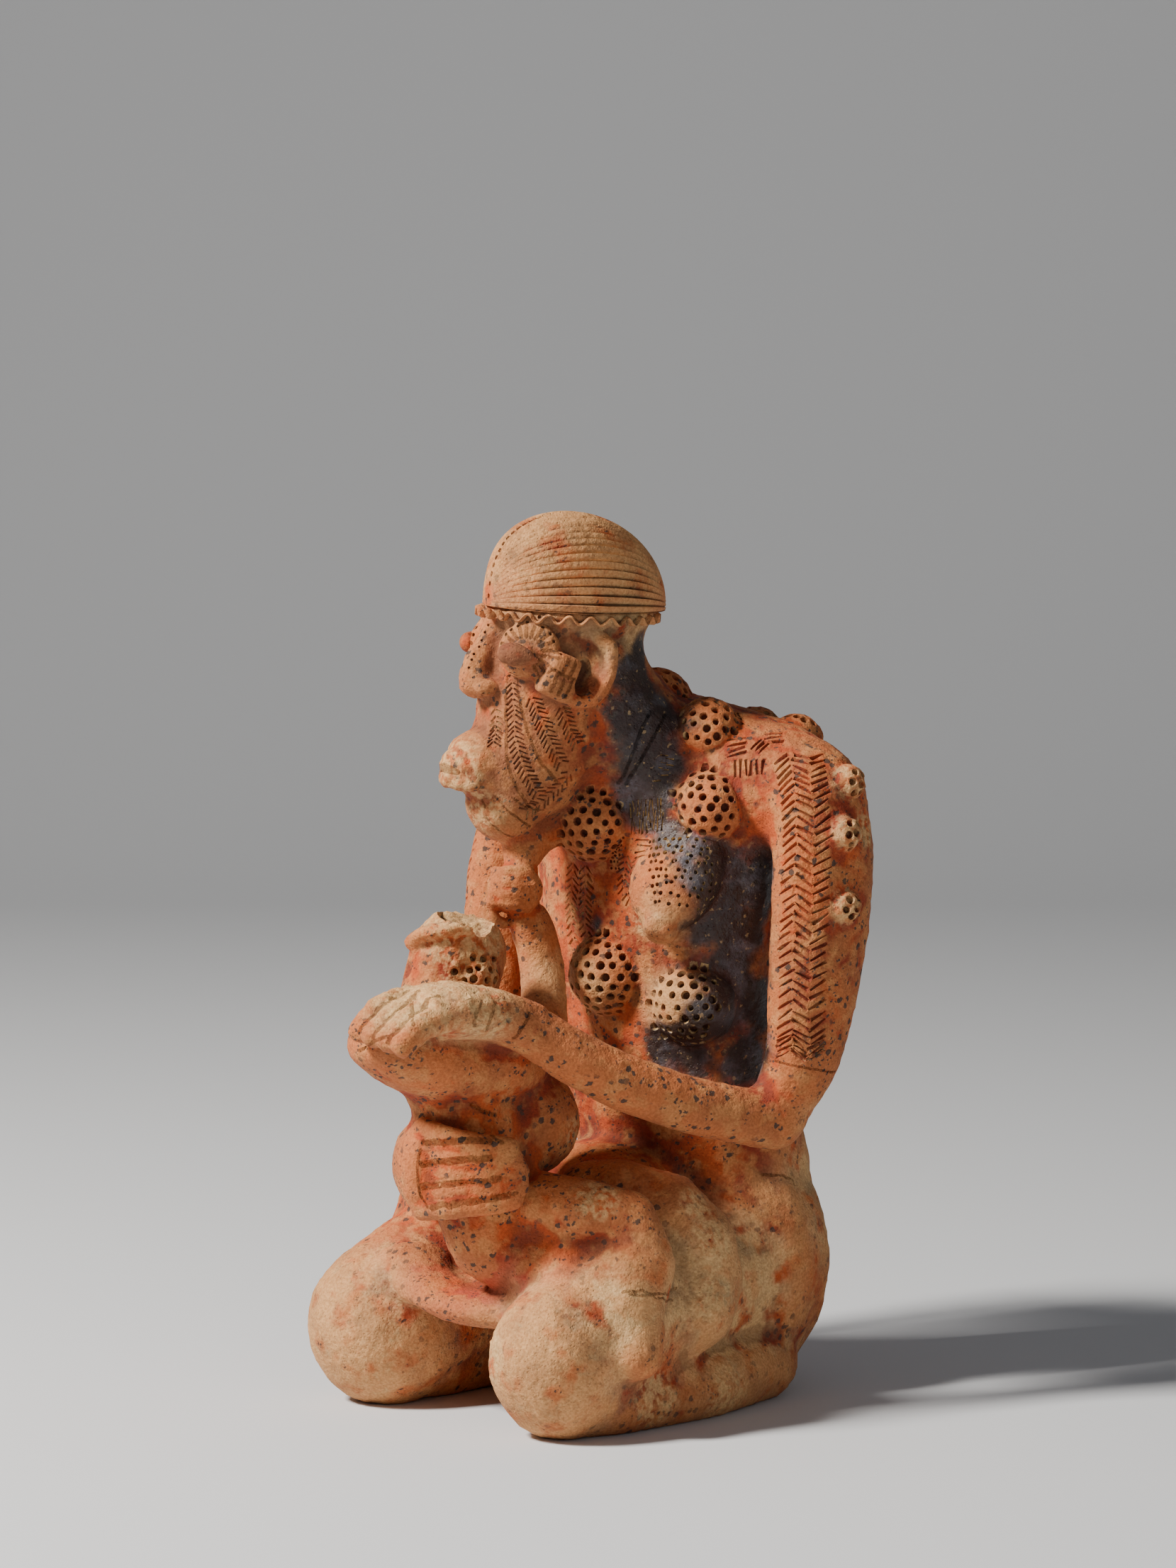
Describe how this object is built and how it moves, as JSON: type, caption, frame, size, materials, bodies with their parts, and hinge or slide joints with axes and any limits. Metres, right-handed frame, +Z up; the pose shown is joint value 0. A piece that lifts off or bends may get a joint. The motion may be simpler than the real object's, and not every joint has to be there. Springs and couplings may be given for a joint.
{
  "type": "terracotta maternity figure",
  "caption": "Kneeling terracotta mother with ray-lidded eyes and pitted pustules, holding a child to her breast; stands on a shelf or plinth as a display sculpture.",
  "frame": {"origin": "on the ground, under the centre of the figure's box", "axes": "+Z up, the mother faces -Y, her left side is +X"},
  "size_m": [0.252, 0.2952, 0.4391],
  "materials": {
    "terracotta": "matt fired clay, orange red to buff, with black fire clouds, black mineral specks and pale dust in the cuts"
  },
  "bodies": {
    "root": {"maternity_figure": "terracotta"}
  },
  "joints": []
}
